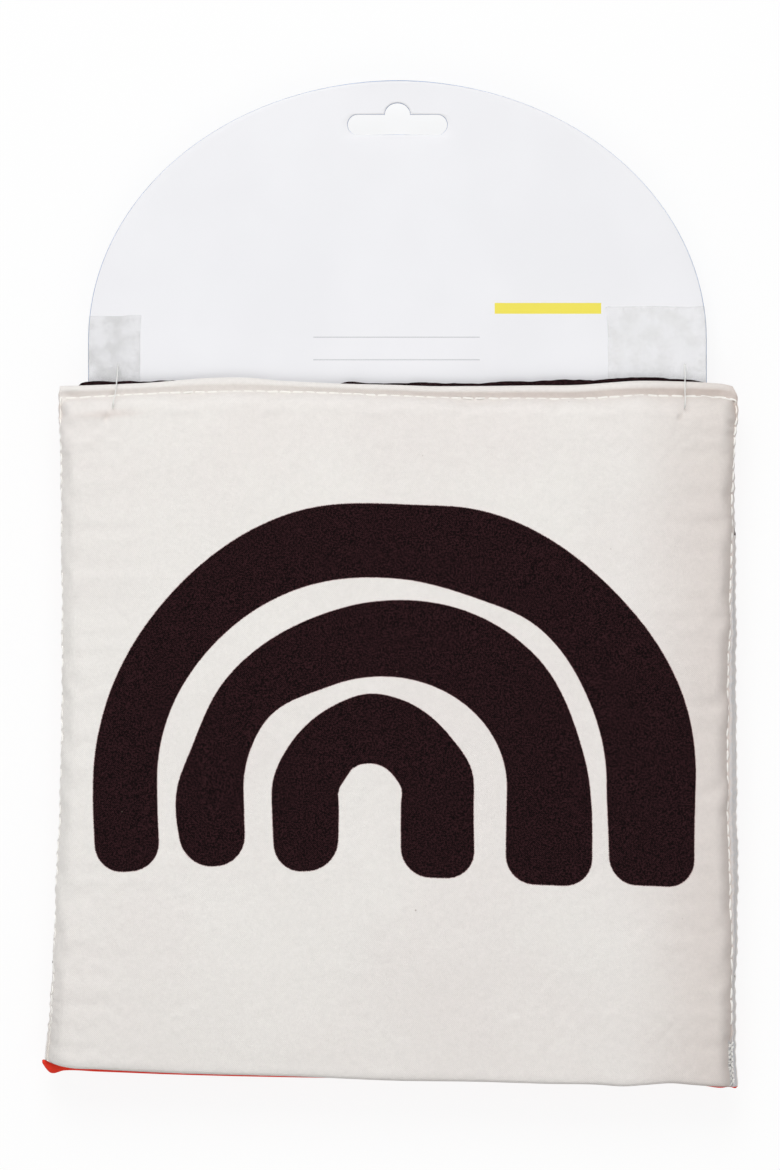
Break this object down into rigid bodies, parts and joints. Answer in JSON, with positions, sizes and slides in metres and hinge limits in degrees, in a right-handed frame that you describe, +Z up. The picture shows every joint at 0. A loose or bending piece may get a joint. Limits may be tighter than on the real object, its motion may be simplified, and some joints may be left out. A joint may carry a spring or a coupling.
{
  "type": "baby mirror toy",
  "caption": "Soft square fold-over baby mirror: padded cloth panel with a framed flexible mirror inside, a padded flap hinged along a sewn fold, and an arch-topped hang card tagged on.",
  "frame": {"origin": "under the middle of the whole closed toy with its card, on the surface that it lies on", "axes": "+Z up out of the face with the arches, +Y from the fold towards the hang card, +X along the fold, to the right in the picture"},
  "size_m": [0.221, 0.32, 0.0268],
  "materials": {
    "cream_canvas": "matte plain-woven cotton canvas, printed",
    "red_canvas": "matte plain-woven canvas",
    "pattern_canvas": "matte printed canvas, brown-black on cream",
    "filling": "soft polyester padding, hidden",
    "board": "plain grey board, hidden",
    "mirror": "bright flexible mirror film on plastic",
    "card": "smooth white coated card",
    "clear_tape": "clear film tape",
    "tag_nylon": "clear nylon thread"
  },
  "bodies": {
    "flap": {"flap_outer_cover": "red_canvas", "flap_padding": "filling", "flap_inner_cover": "pattern_canvas", "fold_seam": "red_canvas"},
    "mirror_panel": {"back_cover": "cream_canvas", "mirror_padding": "filling", "backing_board": "board", "mirror_sheet": "mirror", "mirror_frame_cover": "pattern_canvas", "window_binding": "red_canvas", "header_card": "card", "card_tape_left": "clear_tape", "card_tape_right": "clear_tape", "tag_fastener_left": "tag_nylon", "tag_fastener_right": "tag_nylon"}
  },
  "joints": [
    {"name": "fold_hinge", "type": "hinge", "parent": "flap", "child": "mirror_panel", "pos_m": [0, -0.159, 0.0126], "axis": [1, 0, 0], "range_deg": [0, 180]}
  ]
}
